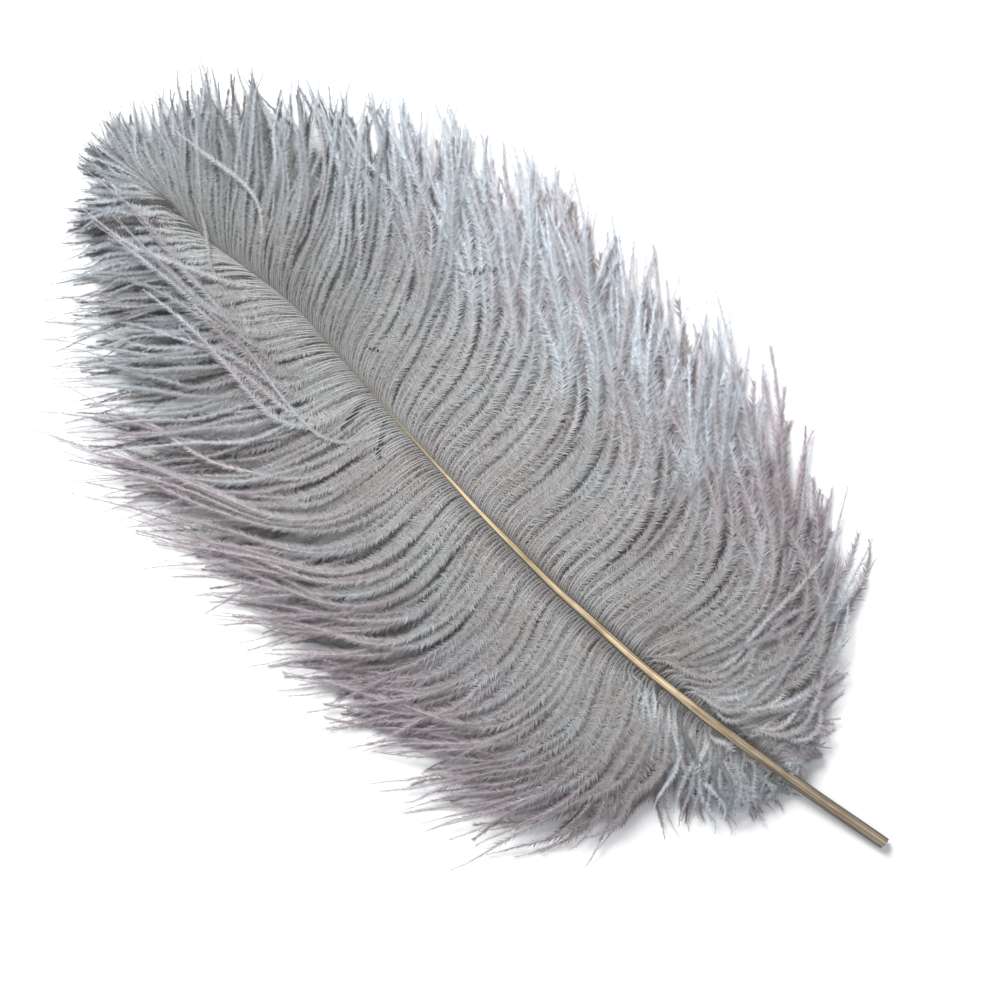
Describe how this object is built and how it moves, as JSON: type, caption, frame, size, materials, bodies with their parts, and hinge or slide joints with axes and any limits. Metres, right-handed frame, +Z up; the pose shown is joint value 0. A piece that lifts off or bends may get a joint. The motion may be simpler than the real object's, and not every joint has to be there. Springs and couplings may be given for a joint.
{
  "type": "ostrich feather",
  "caption": "Loose ostrich plume, dyed grey: a tapering tan shaft with a bare quill end and soft barbs in curved, pointed locks along both sides and round the tip, lying on a surface.",
  "frame": {"origin": "middle of the plume's plan, on the surface that it lies on", "axes": "+X along the shaft from the cut end of the quill to the tip, +Y towards the vane on the left when the shaft is looked along from the quill, +Z up from the surface"},
  "size_m": [0.4202, 0.2274, 0.0187],
  "materials": {
    "vane": "soft matt barbs of keratin, dyed grey, with a faint silky sheen",
    "quill": "semi-matt tan keratin with fine streaks along it, greyer brown towards the cut end"
  },
  "bodies": {
    "root": {"feather": "vane"}
  },
  "joints": []
}
